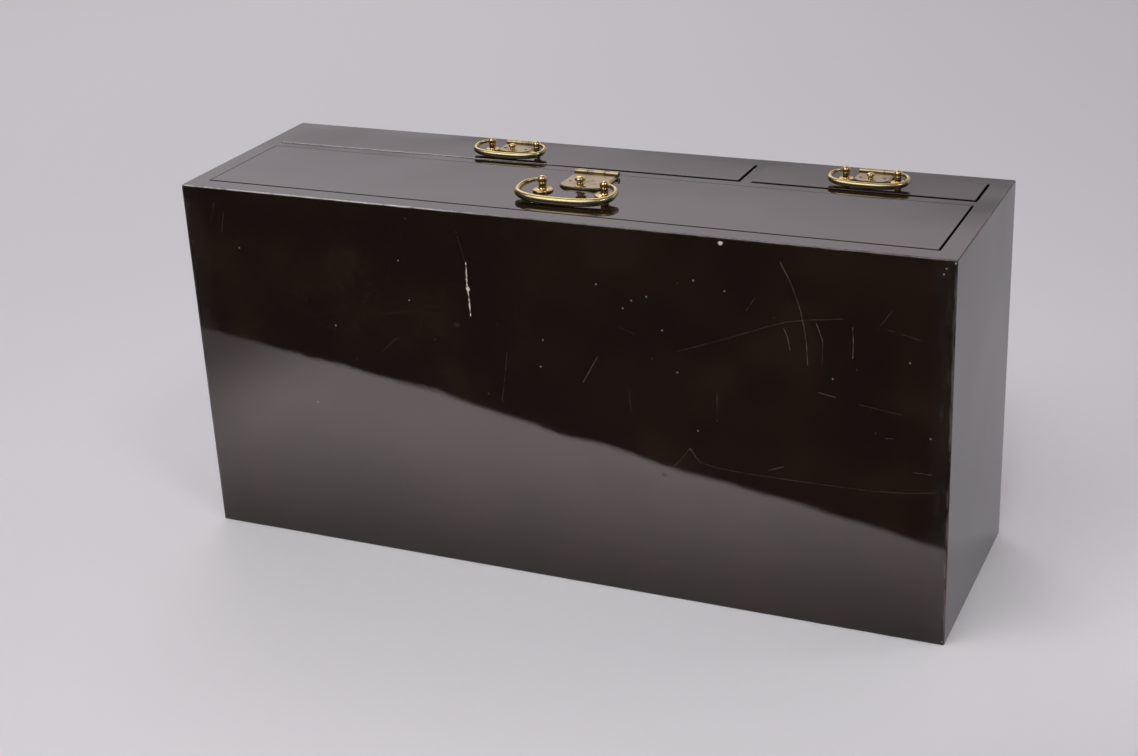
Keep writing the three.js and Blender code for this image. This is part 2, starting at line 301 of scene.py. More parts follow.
def turned(profile, place):
    """Surface of revolution on +Z at a place: radius times (cosine, sine) and height, over profile and
    angle. The first and last stations are single points on the axis."""
    ring = profile[1:-1]
    angle = np.linspace(0, 2 * np.pi, TURNS, endpoint=False)
    x = ring[:, :1] * np.cos(angle)
    y = ring[:, :1] * np.sin(angle)
    z = np.broadcast_to(ring[:, 1:], x.shape)
    rounds = np.stack([x, y, z], axis=-1).reshape(-1, 3)
    poles = np.array([[0, 0, profile[0, 1]], [0, 0, profile[-1, 1]]])
    return np.vstack([rounds, poles]) + place, tube_faces(len(ring), TURNS)


# %% [markdown]
# ## Posts
# A post is a rosette with a thick rounded rim against the lacquer, a short stem and a ball that holds
# the bail's pin. The ball's middle is the bail's hinge, and the frame's box of the post gives the
# rosette's radius and the ball's top. The stations are shares: of the rosette's radius, then of the
# ball's radius and the hinge's height. The ball is a little wider than high.

# %% Posts
RIM = [(0.985, 0.0), (1.0, 0.07), (0.985, 0.15), (0.92, 0.21)]
DISH = [(0.8, 0.235), (0.62, 0.25), (0.47, 0.32)]
ROSETTE = np.array(RIM + DISH)
STEM = np.array([(0.88, 0.46), (0.84, 0.55)])
HEAD_WIDTH = 1.1
posts = []
for drawer in DRAWERS:
    pivot = joint_place(drawer, "bail_swing")
    for side in ("left", "right"):
        low, high = node_box(f"{drawer}_{side}_post")
        rosette = (high[0] - low[0]) / 2
        height = pivot[2] - low[2]
        ball = high[2] - pivot[2]
        foot = np.vstack([ROSETTE * rosette, STEM * (ball, height)])
        head = arc(HEAD_WIDTH * ball, height, -40, 90, 20, ball)
        curve = np.vstack([[(0, 0)], smooth_profile(foot), head])
        place = np.array([(low[0] + high[0]) / 2, pivot[1], low[2]])
        points, faces = turned(curve, place)
        name = f"{drawer}_{side}_post"
        posts.append(make_piece(f"{name}_brass", points, faces, drawer, [name], "brass"))

# %% [markdown]
# ## Bails
# A bail is a cast loop that hangs from its two posts, thick in the middle and drawn thin where it turns
# into the pins. Its middle line is a rounded oval, |x/a|^n + |y/b|^n = 1, with a straight pin at each
# end. A circle that changes its radius is carried along that line, and each end is closed by a point.
# The loop leans until its middle lies just over the lacquer.

# %% Bails
OVAL_POWER = 2.6
BAIL_STEPS = 120
WIRE_SIDES = 24
REST_GAP = 0.1
PIN_STEPS = 6
PIN_START = 0.8
PIN_LENGTH = 0.95
TAPER_START = 0.06
TAPER_RUN = 0.6


def bail_line(pull, span, ball):
    """Middle line of the whole loop in its own plane, from the right pin round to the left pin.

    The oval's angle runs from where it is level with the pin to the middle of the loop; x is a|cos|^(2/n)
    and y is b|sin|^(2/n) with the sine's sign, moved so that the oval meets the pin. The left half
    mirrors the right.
    """
    a = pull["bail_width"] / 2
    start = span / 2 + PIN_START * ball
    rise = (1 - (start / a) ** OVAL_POWER) ** (1 / OVAL_POWER)
    b = pull["bail_drop"] / (1 + rise)
    angle = np.linspace(-math.asin(rise ** (OVAL_POWER / 2)), math.pi / 2, BAIL_STEPS)
    x = a * np.abs(np.cos(angle)) ** (2 / OVAL_POWER)
    y = -b * np.sign(np.sin(angle)) * np.abs(np.sin(angle)) ** (2 / OVAL_POWER) - b * rise
    pin_x = np.linspace(start - PIN_LENGTH * ball, start, PIN_STEPS, endpoint=False)
    half = np.stack([np.concatenate([pin_x, x]), np.concatenate([0 * pin_x, y])], axis=1)
    return np.vstack([half, half[-2::-1] * [-1, 1]])


def tapered_wire(line, pin, wire):
    """Tube along a plane line: the radius grows from the pin's to the wire's by a smooth step of the
    share of the length, and each ring is the line's point plus radius times (cosine across, sine
    upright)."""
    along = np.gradient(line, axis=0)
    along = along / np.linalg.norm(along, axis=1, keepdims=True)
    across = np.stack([-along[:, 1], along[:, 0]], axis=1)
    run = np.concatenate([[0], np.cumsum(np.linalg.norm(np.diff(line, axis=0), axis=1))])
    share = 1 - np.abs(2 * run / run[-1] - 1)
    t = np.clip((share - TAPER_START) / TAPER_RUN, 0, 1)
    radius = (pin + (wire - pin) * t * t * (3 - 2 * t))[:, None]
    angle = np.linspace(0, 2 * np.pi, WIRE_SIDES, endpoint=False)
    flat = line[:, None, :] + (radius * np.cos(angle))[..., None] * across[:, None, :]
    upright = (radius * np.sin(angle))[..., None]
    rings = np.concatenate([flat, upright], axis=-1).reshape(-1, 3)
    ends = np.array([[*line[0], 0.0], [*line[-1], 0.0]])
    return np.vstack([rings, ends])


bails = []
for drawer in DRAWERS:
    pull = PULLS[drawer]
    pivot = joint_place(drawer, "bail_swing")
    left_low, left_high = node_box(f"{drawer}_left_post")
    right_low, right_high = node_box(f"{drawer}_right_post")
    span = (right_low + right_high - left_low - left_high)[0] / 2
    line = bail_line(pull, span, left_high[2] - pivot[2])
    rest_height = pull["wire"] + REST_GAP
    lean = math.asin((pivot[2] - left_low[2] - rest_height) / pull["bail_drop"])
    turn = np.array(Matrix.Rotation(lean, 3, "X"))
    points = tapered_wire(line, pull["pin"], pull["wire"]) @ turn.T + pivot
    name = f"{drawer}_bail"
    body = drawer.replace("_drawer", "_bail")
    faces = tube_faces(len(line), WIRE_SIDES)
    bails.append(make_piece(f"{name}_brass", points, faces, body, [name], "brass"))

# %% [markdown]
# ## Lock covers
# Above each bail a sheet of brass covers the lock. It is hinged along its upper edge: the barrel's
# outer knuckles belong to a plate fixed on the drawer, and the middle knuckle belongs to the cover. The
# cover widens downwards, its lower corners are cut away in a curve, its lower edge bows a little, and
# its rim is turned down. As a grid, one parameter runs across and one runs down; a half-width that
# depends on the second shapes the outline.

# %% Sheets and barrels
BARREL_EASE = 0.07
KNUCKLE_GAP = 0.12
LEAF = 0.4
COVER_GAP = 0.3
COVER = 0.75


def sheet(upper_grid, lower_grid, place):
    """Closed slab at a place, between two grids of points: both faces, and a wall round the rim."""
    rows, columns = upper_grid.shape[:2]
    count = rows * columns
    cells = (np.arange(rows - 1)[:, None] * columns + np.arange(columns - 1)).reshape(-1, 1)
    upper = cells + np.array([0, columns, columns + 1, 1])
    lower = cells + np.array([0, 1, columns + 1, columns]) + count
    index = np.arange(count).reshape(rows, columns)
    rim = np.concatenate([index[0, :-1], index[:-1, -1], index[-1, :0:-1], index[:0:-1, 0]])
    after = np.roll(rim, -1)
    wall = np.stack([rim, after, after + count, rim + count], axis=1)
    points = np.vstack([upper_grid.reshape(-1, 3), lower_grid.reshape(-1, 3)])
    return points + place, np.vstack([upper, lower, wall]).tolist()


def barrel(radius, start, end, place):
    """Round bar along X with eased ends: a short arc brings the radius down at each end, then a turned
    surface is laid over from +Z to +X."""
    ease = BARREL_EASE * radius
    stations = [start, start, start + ease, end - ease, end, end]
    radii = [0, radius - ease, radius, radius, radius - ease, 0]
    profile = np.stack([radii, stations], axis=1)
    points, faces = turned(profile, np.zeros(3))
    return points[:, [2, 0, 1]] + place, faces


def joined(parts):
    """Several closed shells as one set: each shell's point numbers move up by the points before it."""
    offsets = np.cumsum([0] + [len(points) for points, _ in parts[:-1]])
    pairs = zip(parts, offsets)
    faces = [[number + offset for number in face] for (_, shell), offset in pairs for face in shell]
    return np.vstack([points for points, _ in parts]), faces


# %% Shape of a lock sheet
ACROSS = 25
UPPER_ROWS = 10
LOWER_ROWS = 12
LAST_ROW_FROM = 0.8
BOW_SHARE = 0.08
RIM_SHARE = 0.07
CORNER_OUT = 0.12
CORNER_UP = 0.1


def lock_grid(pull, start, inset, level, rim_drop=0.0):
    """One face of a lock sheet: rows go down from the hinge, columns go across.

    Down to the shoulder the half-width grows in a straight line. Below it, half-width and height follow a
    quadratic curve, (1-t)^2 first + 2t(1-t) control + t^2 last, from the shoulder to the foot. The rows
    bow down by a parabola of the place across that grows with t^2. The outermost points lie lower by the
    rim's drop.
    """
    widest = pull["cover_width"] / 2 - inset
    foot = pull["cover_foot"] / 2 - inset
    shoulder = inset - pull["cover_shoulder"]
    lowest = inset - pull["cover_length"]
    bow = BOW_SHARE * foot
    upper = np.linspace((pull["cover_top"] / 2 - inset, start), (widest, shoulder), UPPER_ROWS)
    first = np.array([widest, shoulder])
    control = np.array([(widest + foot) / 2 + CORNER_OUT * foot, lowest + CORNER_UP * foot])
    last = np.array([foot, lowest + bow])
    t = np.append(np.linspace(0, LAST_ROW_FROM, LOWER_ROWS)[1:], 1.0)[:, None]
    lower = (1 - t) ** 2 * first + 2 * t * (1 - t) * control + t**2 * last
    half, down = np.vstack([upper, lower]).T
    depth = np.concatenate([np.zeros(len(upper)), t[:, 0] ** 2])
    u = np.concatenate([[-1], np.linspace(RIM_SHARE - 1, 1 - RIM_SHARE, ACROSS), [1]])
    x = half[:, None] * u
    y = down[:, None] - bow * depth[:, None] * (1 - u**2)
    at_rim = (np.abs(u) == 1)[None, :] | (depth == 1)[:, None]
    return np.stack([x, y, level - rim_drop * at_rim], axis=-1)


def strip(left, right, lower, top, under, place):
    """Flat slab from the hinge's axis down to a lower edge, between two heights."""
    x, y = np.meshgrid(np.linspace(left, right, 5), np.linspace(0, lower, 3))
    return sheet(*[np.stack([x, y, np.full(x.shape, level)], axis=-1) for level in (top, under)], place)


# %% Covers, knuckles and plates
LAP = 0.2
RIM_DROP = 0.9
RIM_UNDER_DROP = 0.35
BARREL_ROOM = 0.4
BARREL_PAST = 0.3
MIDDLE_SHARE = 0.2
PIN_SHARE = 0.4
SHEET_ARRIS = 0.12
covers = []
plates = []
for drawer in DRAWERS:
    pull = PULLS[drawer]
    hinge = joint_place(drawer, "cover_lift")
    base = np.array([hinge[0], hinge[1], node_box(f"{drawer}_front")[1][2]])
    radius = pull["barrel"]
    clear = radius + BARREL_ROOM
    middle = MIDDLE_SHARE * pull["cover_top"]
    room = middle + KNUCKLE_GAP
    end = pull["cover_top"] / 2 + BARREL_PAST
    under = LEAF + COVER_GAP
    top = under + COVER
    lip = -clear - LAP
    cover_shells = [
        sheet(
            lock_grid(pull, -clear, 0.0, top, RIM_DROP),
            lock_grid(pull, -clear, 0.0, under, RIM_UNDER_DROP),
            base,
        ),
        strip(-middle, middle, lip, top, under, base),
        barrel(radius, -middle, middle, hinge),
    ]
    name = f"{drawer}_lock_cover"
    body = drawer.replace("_drawer", "_cover")
    cover = make_piece(f"{name}_brass", *joined(cover_shells), body, [name], "brass")
    covers.append(soften(cover, SHEET_ARRIS, segments=2, angle=35))
    inset = pull["leaf_inset"]
    tab = pull["cover_top"] / 2 - inset
    plate_shells = [
        sheet(lock_grid(pull, -clear, inset, LEAF), lock_grid(pull, -clear, inset, 0.0), base),
        strip(-tab, -room, lip, LEAF, 0.0, base),
        strip(room, tab, lip, LEAF, 0.0, base),
        barrel(radius, -end, -room, hinge),
        barrel(radius, room, end, hinge),
        barrel(PIN_SHARE * radius, -end, end, hinge),
    ]
    name = f"{drawer}_lock_plate"
    plate = make_piece(f"{name}_brass", *joined(plate_shells), drawer, [name], "brass")
    plates.append(soften(plate, SHEET_ARRIS, segments=2, angle=40))

# %% [markdown]
# ## Knobs and rivets
# A small turned knob lifts the cover: a collar, a lobe and a flattened head. Beside it two rivets hold
# the lock's parts behind the sheet; their near-black brass is painted shade for two small dark holes, so
# they show as small dark spots.

# %% Knobs and rivets
COLLAR = np.array([(1.05, 0.0), (1.06, 0.08), (0.98, 0.17), (0.74, 0.22)])
RIVET = 0.85
RIVET_ROOT = -0.2
RIVET_RISE = 0.22
RIVET_ACROSS = 0.33
RIVET_DOWN = 0.62
knobs = []
rivets = []
for drawer in DRAWERS:
    pull = PULLS[drawer]
    hinge = joint_place(drawer, "cover_lift")
    name = f"{drawer}_lock_knob"
    low, high = node_box(name)
    head = (high[0] - low[0]) / 2 / COLLAR[:, 0].max()
    lobe = arc(0.74 * head, 0.5 * head, -32, 38, 10, 0.4 * head)
    crown = arc(head, 1.3 * head, -58, 90, 24, 0.55 * head)
    curve = np.vstack([[(0, 0)], smooth_profile(COLLAR * head), lobe, crown])
    place = np.array([(low[0] + high[0]) / 2, (low[1] + high[1]) / 2, low[2]])
    points, faces = turned(curve, place)
    body = drawer.replace("_drawer", "_cover")
    knobs.append(make_piece(f"{name}_brass", points, faces, body, [name], "brass"))
    dome = np.vstack([[(0, RIVET_ROOT), (RIVET, RIVET_ROOT)], arc(RIVET, 0.0, 0, 90, 8, RIVET_RISE)])
    across, down = RIVET_ACROSS * pull["cover_width"], RIVET_DOWN * pull["cover_length"]
    spots = [np.array([hinge[0] + side * across, hinge[1] - down, low[2]]) for side in (-1, 1)]
    points, faces = joined([turned(dome, spot) for spot in spots])
    rivets.append(make_piece(f"{drawer}_lock_rivets", points, faces, body, [], "brass"))

# %% [markdown]
# ## Finishes as expressions
# A finish is a small network of nodes. Written by hand, the arithmetic takes many lines, so a number on
# a socket is wrapped in a class whose plus, minus and times add the Math nodes. Any other node comes
# from one method that takes the node's type, its settings and what goes into its sockets.


# %% Socket arithmetic
class Level:
    """A number that varies over a surface. Arithmetic on it adds Math nodes to its finish."""

    def __init__(self, finish, socket):
        self.finish = finish
        self.socket = socket

    def math(self, operation, first, second=0.0):
        return self.finish.node("ShaderNodeMath", {"operation": operation}, {0: first, 1: second})

    def __add__(self, other):
        return self.math("ADD", self, other)

    def __radd__(self, other):
        return self.math("ADD", other, self)

    def __sub__(self, other):
        return self.math("SUBTRACT", self, other)

    def __rsub__(self, other):
        return self.math("SUBTRACT", other, self)

    def __mul__(self, other):
        return self.math("MULTIPLY", self, other)

    def __rmul__(self, other):
        return self.math("MULTIPLY", other, self)

    def __abs__(self):
        return self.math("ABSOLUTE", self)

    def least(self, other):
        return self.math("MINIMUM", self, other)

    def most(self, other):
        return self.math("MAXIMUM", self, other)

    def held(self):
        """The number kept between 0 and 1."""
        return self.finish.node("ShaderNodeClamp", None, {0: self})


class Finish:
    """A network of nodes, and the one method that adds nodes to it."""

    def __init__(self, owner):
        owner.use_nodes = True
        self.owner = owner
        self.tree = owner.node_tree
        self.tree.nodes.clear()

    def node(self, kind, settings=None, sockets=None, output=0):
        """Adds a node, applies its settings, fills its sockets, and returns one of its outputs."""
        node = self.tree.nodes.new(kind)
        for key, value in (settings or {}).items():
            setattr(node, key, value)
        for key, value in (sockets or {}).items():
            if isinstance(value, Level):
                self.tree.links.new(value.socket, node.inputs[key])
            else:
                node.inputs[key].default_value = value
        return Level(self, node.outputs[output]) if node.outputs else None

    def vector(self, operation, first, second=(0, 0, 0), scale=1.0, output=0):
        """Vector arithmetic; output 1 is the number that a length or a dot product gives."""
        sockets = {0: first, 1: second, 3: scale}
        return self.node("ShaderNodeVectorMath", {"operation": operation}, sockets, output)

    def place_mm(self):
        """The point of the surface in the piece's own coordinates, in millimetres."""
        place = self.node("ShaderNodeTexCoord", output=3)
        return self.vector("SCALE", place, scale=1 / MM)

    def parts(self, vector):
        """The three numbers of a vector."""
        return [self.node("ShaderNodeSeparateXYZ", None, {0: vector}, output=axis) for axis in range(3)]

    def noise(self, place, size_mm, detail=3.0, roughness=0.5):
        """Cloudy noise whose lumps are about this many millimetres across."""
        sockets = {"Vector": place, "Scale": 1 / size_mm, "Detail": detail, "Roughness": roughness}
        return self.node("ShaderNodeTexNoise", None, sockets)

    def ramp(self, level, low, high, start=0.0, end=1.0):
        """The start value below low, the end value above high, and a smooth step between."""
        settings = {"interpolation_type": "SMOOTHSTEP"}
        return self.node("ShaderNodeMapRange", settings, {0: level, 1: low, 2: high, 3: start, 4: end})

    def blend(self, share, first, second):
        """First colour where share is 0, second where it is 1."""
        settings = {"data_type": "RGBA", "clamp_factor": True}
        return self.node("ShaderNodeMix", settings, {0: share, 6: first, 7: second}, output=2)

    def surface(self, **sockets):
        """Ends a material's network in a Principled surface."""
        named = {key.replace("_", " "): value for key, value in sockets.items()}
        shader = self.node("ShaderNodeBsdfPrincipled", None, named)
        self.node("ShaderNodeOutputMaterial", None, {"Surface": shader})
        print("finish", self.owner.name, "has", len(self.tree.nodes), "nodes")
        return self.owner


# %% [markdown]
# ## Scratches as strokes
# Each scratch on the base is a short straight stroke, or a chain of them. Its mask is the distance from
# the point to the stroke: the share along the stroke is held between 0 and 1, the stroke's point there
# is taken away, and what is left is a length. The nearest stroke wins, and a smooth step makes the
# line. The strokes are measured on the base from its left end and down from the arris at the drawer
# fronts, in millimetres.

# %% Where the wear lies on the base
low_corner = node_box("case_base")[0]
base_top = node_box("case_base")[1][2]


def on_base(across, down):
    """A spot on the base's outer face, from millimetres across and down."""
    return np.array([low_corner[0] + across, low_corner[1], base_top - down])


WHITE_CHIPS = [
    [(181.2, 29), (181, 40), (181.5, 48), (182, 60)],
    [(326.8, 2.8), (329.4, 3)],
    [(448.6, 1.6), (448.8, 1.8)],
]
CHIP_HEARTS = [(181.4, 44), (328.2, 3.2)]
PALE_SCRATCHES = [
    [(360, 10), (364.7, 19), (368.2, 27.5), (370.8, 35.5), (372.6, 44), (374, 53), (374.6, 64.5)],
    [(362, 46), (364, 51), (365.2, 57.5)],
    [(379, 41), (381, 46), (382.5, 50.5)],
    [(398, 41), (398.5, 48), (398.3, 58)],
    [(380.4, 79), (389.6, 80.7)],
    [(309.2, 121.5), (314.7, 129.2)],
    [(353.6, 127.6), (361.5, 124.6)],
    [(431, 117), (440, 117)],
    [(415.8, 99.9), (420.2, 99.6)],
    [(248, 91), (252, 84), (257, 75)],
]
FAINT_SCRATCHES = [
    [(303, 66), (329, 56), (353, 46), (363.4, 42), (376, 39.5), (393, 37)],
    [(314.7, 129.2), (326, 131), (338, 131.6), (371, 131.7), (410, 131), (428, 129.4), (442.5, 127)],
    [(297, 136.4), (303, 130), (309.2, 121.5)],
    [(416, 40.2), (434, 44)],
    [(382.5, 50.6), (382.3, 71)],
    [(325, 87), (325, 103.5)],
    [(341.6, 38.6), (346.6, 30.6)],
    [(418, 30), (411, 40.5)],
    [(402, 83), (424, 85.6)],
    [(123, 89), (134, 79)],
    [(275, 91), (275.5, 106)],
    [(198, 109), (203, 79)],
    [(270, 56), (279, 59)],
    [(177, 14), (181, 29)],
    [(22, 6), (17, 22)],
    [(27, 14), (24, 27)],
]
SPECKS = [
    (35, 35), (139, 32), (144, 55), (94.5, 76), (258, 33), (273, 45), (278, 40), (286.6, 37),
    (223, 85), (225, 69), (295, 55), (303, 78), (313, 25), (330, 29), (388, 70.5), (427.7, 56.6),
    (439.4, 96.8), (443.3, 7.8), (444.5, 4.7), (314, 110.5), (448.8, 213.6), (449, 1.6), (77, 126),
]
BLOTS = [(113, 158), (294, 140), (282, 186), (173, 66)]
print(len(PALE_SCRATCHES) + len(FAINT_SCRATCHES), "scratches and", len(SPECKS), "specks")


# %% Masks for strokes and specks
def stroke_distance(finish, place, start, end):
    """Distance in mm from the surface to the straight stroke between two spots."""
    run = end - start
    offset = finish.vector("SUBTRACT", place, tuple(start))
    share = finish.vector("DOT_PRODUCT", offset, tuple(run / (run @ run)), output=1).held()
    return finish.vector("DISTANCE", offset, finish.vector("SCALE", tuple(run), scale=share), output=1)


def nearest_stroke(finish, place, chains):
    """Distance to the nearest stroke of all chains: the least of their distances."""
    pairs = [(on_base(*a), on_base(*b)) for chain in chains for a, b in zip(chain[:-1], chain[1:])]
    nearest = stroke_distance(finish, place, *pairs[0])
    for start, end in pairs[1:]:
        nearest = nearest.least(stroke_distance(finish, place, start, end))
    return nearest


def nearest_spot(finish, place, spots):
    """Distance to the nearest of several places."""
    nearest = finish.vector("DISTANCE", place, tuple(spots[0]), output=1)
    for spot in spots[1:]:
        nearest = nearest.least(finish.vector("DISTANCE", place, tuple(spot), output=1))
    return nearest


def arris_distances(finish, place):
    """Distances in mm from all of the case's outer arrises, from its four upright ones, and from the long
    ones.

    On a face of the box one of the three distances to the faces is nearly 0. The nearest arris is the
    next one, the sum of all three less the least and the most. An upright arris is as far off as the
    greater of the distances along X and Y, and a long arris as the greater of those along Y and Z.
    """
    low, high = case_points.min(axis=0), case_points.max(axis=0)
    centred = finish.vector("SUBTRACT", place, tuple((low + high) / 2))
    apart = finish.vector("SUBTRACT", tuple((high - low) / 2), finish.vector("ABSOLUTE", centred))
    x, y, z = finish.parts(apart)
    nearest = x + y + z - x.least(y).least(z) - x.most(y).most(z)
    return nearest, x.most(y), y.most(z)


# %% [markdown]
# ## Lacquer
# Old lacquer is almost black with a brown heart, and polished like dark glass: what is seen is mostly
# what it reflects, more so at a low angle. The skin isn't quite flat, so reflections bend a little. The
# case has been handled most: its arrises are rubbed pale, its corners are hazy with fine scratches, and
# a few chips show the pale ground. A pale line on its long upper arrises, strong on the left and faint
# on the right, is a painted highlight. All of that is masks of distance and noise, mixed one after the
# other over the colour. The wide drawer's lower arris carries a painted highlight too, fainter towards
# the right.

# %% Lacquer finish
LACQUER_DARK = (0.0088, 0.0044, 0.003, 1)
LACQUER_BROWN = (0.0172, 0.0086, 0.0052, 1)
HAZE = (0.06, 0.055, 0.054, 1)
RUBBED = (0.085, 0.055, 0.043, 1)
PALE_WEAR = (0.25, 0.232, 0.22, 1)
BLOT = (0.016, 0.015, 0.017, 1)
CHIP = (0.62, 0.53, 0.45, 1)
# Colour of the painted highlight on the case's upper arrises and the wide drawer's lower arris.
PAINTED_ARRIS_HIGHLIGHT = (0.6, 0.56, 0.55, 1)
NOTCH = (225.0, -23.8, 216.0)
DRAWN_DOWN = (1.0, 1.0, 0.12)
DRAWN_ALONG = (0.04, 1.0, 1.0)
# Depth of the swell, lumps of the noises, and how far the wear and the painted highlight reach from
# an arris, in millimetres.
CASE_SWELL = 0.8
FRONT_SWELL = 0.3
PATCH_MM = 9
GRIT_MM = 1.1
DRAWN_MM = 1.3
FLAKE_MM = 1.8
BREAK_MM = 3.1
CLOUD_MM = 42
SWELL_MM = 80
RIPPLE_MM = 6
STREAK_MM = 1.6
DUST_MM = 2.6
HAZE_REACH = 16
EDGE_REACH = 1.9
RUB_REACH = 1.5
NICK_REACH = 0.8
HIGHLIGHT_REACH = 0.85
HEART_RADIUS = 0.9
# Shares of the wear and of the painted joint highlight in the colour, and what the wear adds to the
# roughness.
HAZE_SHARE = 0.3
RUB_SHARE = 0.7
PALE_SHARE = 0.36
FAINT_SHARE = 0.12
SPECK_SHARE = 0.95
NICK_SHARE = 0.45
EDGE_SHARE = 0.26
JOINT_HIGHLIGHT_SHARE = 0.55
CASE_DUST = 0.2
FRONT_DUST = 0.1
POLISH = 0.022
CLOUD_ROUGH = 0.015
STREAK_ROUGH = 0.025
DULL_ROUGH = 0.5
HAZE_DULL = 0.15
RUB_DULL = 0.4


def lacquer_wear(finish, place, colour):
    """Scratches, specks, chips, rubbed arrises and a painted arris highlight of the case over a base
    colour.

    Returns the new colour, how far the skin is dulled, and the depth of the chips."""
    arris, upright, ridge = arris_distances(finish, place)
    x, _, z = finish.parts(place)
    patchy = finish.noise(place, PATCH_MM, detail=4, roughness=0.65)
    grit = finish.noise(place, GRIT_MM, detail=2)
    drawn = finish.noise(finish.vector("MULTIPLY", place, DRAWN_DOWN), DRAWN_MM, detail=3)
    haze = (1 - finish.ramp(upright, 0.3, HAZE_REACH)) * finish.ramp(drawn * 0.5 + patchy * 0.5, 0.36, 0.72)
    colour = finish.blend(haze * HAZE_SHARE, colour, HAZE)
    edge = (1 - finish.ramp(upright, 0.5, EDGE_REACH)) * finish.ramp(drawn, 0.4, 0.66)
    rub = (1 - finish.ramp(arris, 0.1, RUB_REACH)) * finish.ramp(patchy, 0.47, 0.62)
    colour = finish.blend(rub * RUB_SHARE, colour, RUBBED)
    blot_spots = [on_base(*spot) for spot in BLOTS] + [NOTCH]
    blots = 1 - finish.ramp(nearest_spot(finish, place, blot_spots) + 2 * patchy, 1.6, 3.2)
    colour = finish.blend(blots, colour, BLOT)
    # Painted highlight: a pale line on the long upper arrises, strong on the left, faint on the right.
    front = finish.ramp(z, 150, 200) * finish.ramp(x, -90, 0, 0.7, 0.1)
    line = (1 - finish.ramp(ridge, 0.4, HIGHLIGHT_REACH)) * finish.ramp(patchy, 0.36, 0.5, 0.45, 1.0) * front
    nicks = (1 - finish.ramp(arris, 0.1, NICK_REACH)) * finish.ramp(grit, 0.67, 0.74)
    broken = finish.ramp(finish.noise(place, BREAK_MM, detail=3), 0.36, 0.6, 0.25, 1.0)
    pale = (1 - finish.ramp(nearest_stroke(finish, place, PALE_SCRATCHES), 0.06, 0.3)) * broken
    faint = (1 - finish.ramp(nearest_stroke(finish, place, FAINT_SCRATCHES), 0.04, 0.34)) * broken
    speck_spots = [on_base(*spot) for spot in SPECKS]
    specks = 1 - finish.ramp(nearest_spot(finish, place, speck_spots) + 0.4 * grit, 0.45, 0.8)
    wear = (pale * PALE_SHARE).most(faint * FAINT_SHARE).most(specks * SPECK_SHARE)
    wear = wear.most(nicks * NICK_SHARE).most(edge * EDGE_SHARE)
    colour = finish.blend(wear, colour, PALE_WEAR)
    hearts = nearest_spot(finish, place, [on_base(*spot) for spot in CHIP_HEARTS]) - HEART_RADIUS
    flakes = 1.9 * finish.noise(place, FLAKE_MM, detail=3)
    ragged = nearest_stroke(finish, place, WHITE_CHIPS).least(hearts) + flakes
    chips = 1 - finish.ramp(ragged, 1.1, 1.35)
    # The painted arris highlight goes over the colour here.
    colour = finish.blend(line, colour, PAINTED_ARRIS_HIGHLIGHT)
    colour = finish.blend(chips, colour, CHIP)
    dulled = wear.most(chips).most(haze * HAZE_DULL).most(rub * RUB_DULL).most(blots * RUB_DULL)
    return colour, dulled, chips


def painted_joint_highlight(finish, place):
    """Painted highlight on the lower arris of the wide drawer, along its closed joint, fainter towards the
    right."""
    low, high = node_box("wide_drawer_front")
    slope = ASKEW["wide_drawer"] / (high[0] - low[0])
    x, y, z = finish.parts(place)
    above = y - low[1] - slope * (x - high[0])
    near = (1 - finish.ramp(above, 0.35, 0.75)) * finish.ramp(above, -0.4, -0.1)
    return near * finish.ramp(z, 210, 215) * finish.ramp(x, -130, 10, 1.0, 0.0)


def lacquer(name, swell_mm, worn):
    """Glossy black-brown lacquer; on the case it carries the wear of the base and the arrises as well."""
    finish = Finish(bpy.data.materials.new(name))
    place = finish.place_mm()
    cloud = finish.noise(place, CLOUD_MM, detail=4)
    colour = finish.blend(finish.ramp(cloud, 0.35, 0.75), LACQUER_DARK, LACQUER_BROWN)
    streaks = finish.noise(finish.vector("MULTIPLY", place, DRAWN_ALONG), STREAK_MM, detail=3)
    rough = POLISH + CLOUD_ROUGH * finish.ramp(cloud, 0.45, 0.8)
    rough = rough + STREAK_ROUGH * finish.ramp(streaks, 0.54, 0.74)
    swell = finish.noise(place, SWELL_MM, detail=1) + 0.01 * finish.noise(place, RIPPLE_MM, detail=2)
    specks = finish.ramp(finish.noise(place, DUST_MM, detail=0), 0.86, 0.9)
    dust = (CASE_DUST if worn else FRONT_DUST) * specks
    colour = finish.blend(dust, colour, PALE_WEAR)
    dulled = dust
    if worn:
        colour, worn_skin, chips = lacquer_wear(finish, place, colour)
        dulled = dulled.most(worn_skin)
        swell = swell - 0.1 * chips
    else:
        # Painted highlight along the wide drawer's lower arris.
        colour = finish.blend(painted_joint_highlight(finish, place) * JOINT_HIGHLIGHT_SHARE, colour, PAINTED_ARRIS_HIGHLIGHT)
    bump = finish.node("ShaderNodeBump", None, {"Distance": swell_mm * MM, "Height": swell})
    rough = (rough + DULL_ROUGH * dulled).held()
    return finish.surface(Base_Color=colour, Roughness=rough, Normal=bump, IOR=1.54)


case.data.materials.append(lacquer("worn_black_lacquer", CASE_SWELL, True))
front_lacquer = lacquer("black_lacquer", FRONT_SWELL, False)
for front in fronts:
    front.data.materials.append(front_lacquer)

# %% [markdown]
# ## Inside of the drawers
# The trays have only a thin coat over plain wood, so the grain shows as long dark streaks and the sheen
# is low. The grain runs along each board: along the box on bottoms and backs, and from front to back on
# the sides, which are the faces that look along X.

# %% Tray finish
TRAY_DARK = (0.016, 0.009, 0.006, 1)
TRAY_LIGHT = (0.050, 0.027, 0.016, 1)
GRAIN_MM = 2.4
BROAD_MM = 14
ALONG_BOX = (0.04, 1.0, 1.0)
FRONT_TO_BACK = (1.0, 1.0, 0.04)


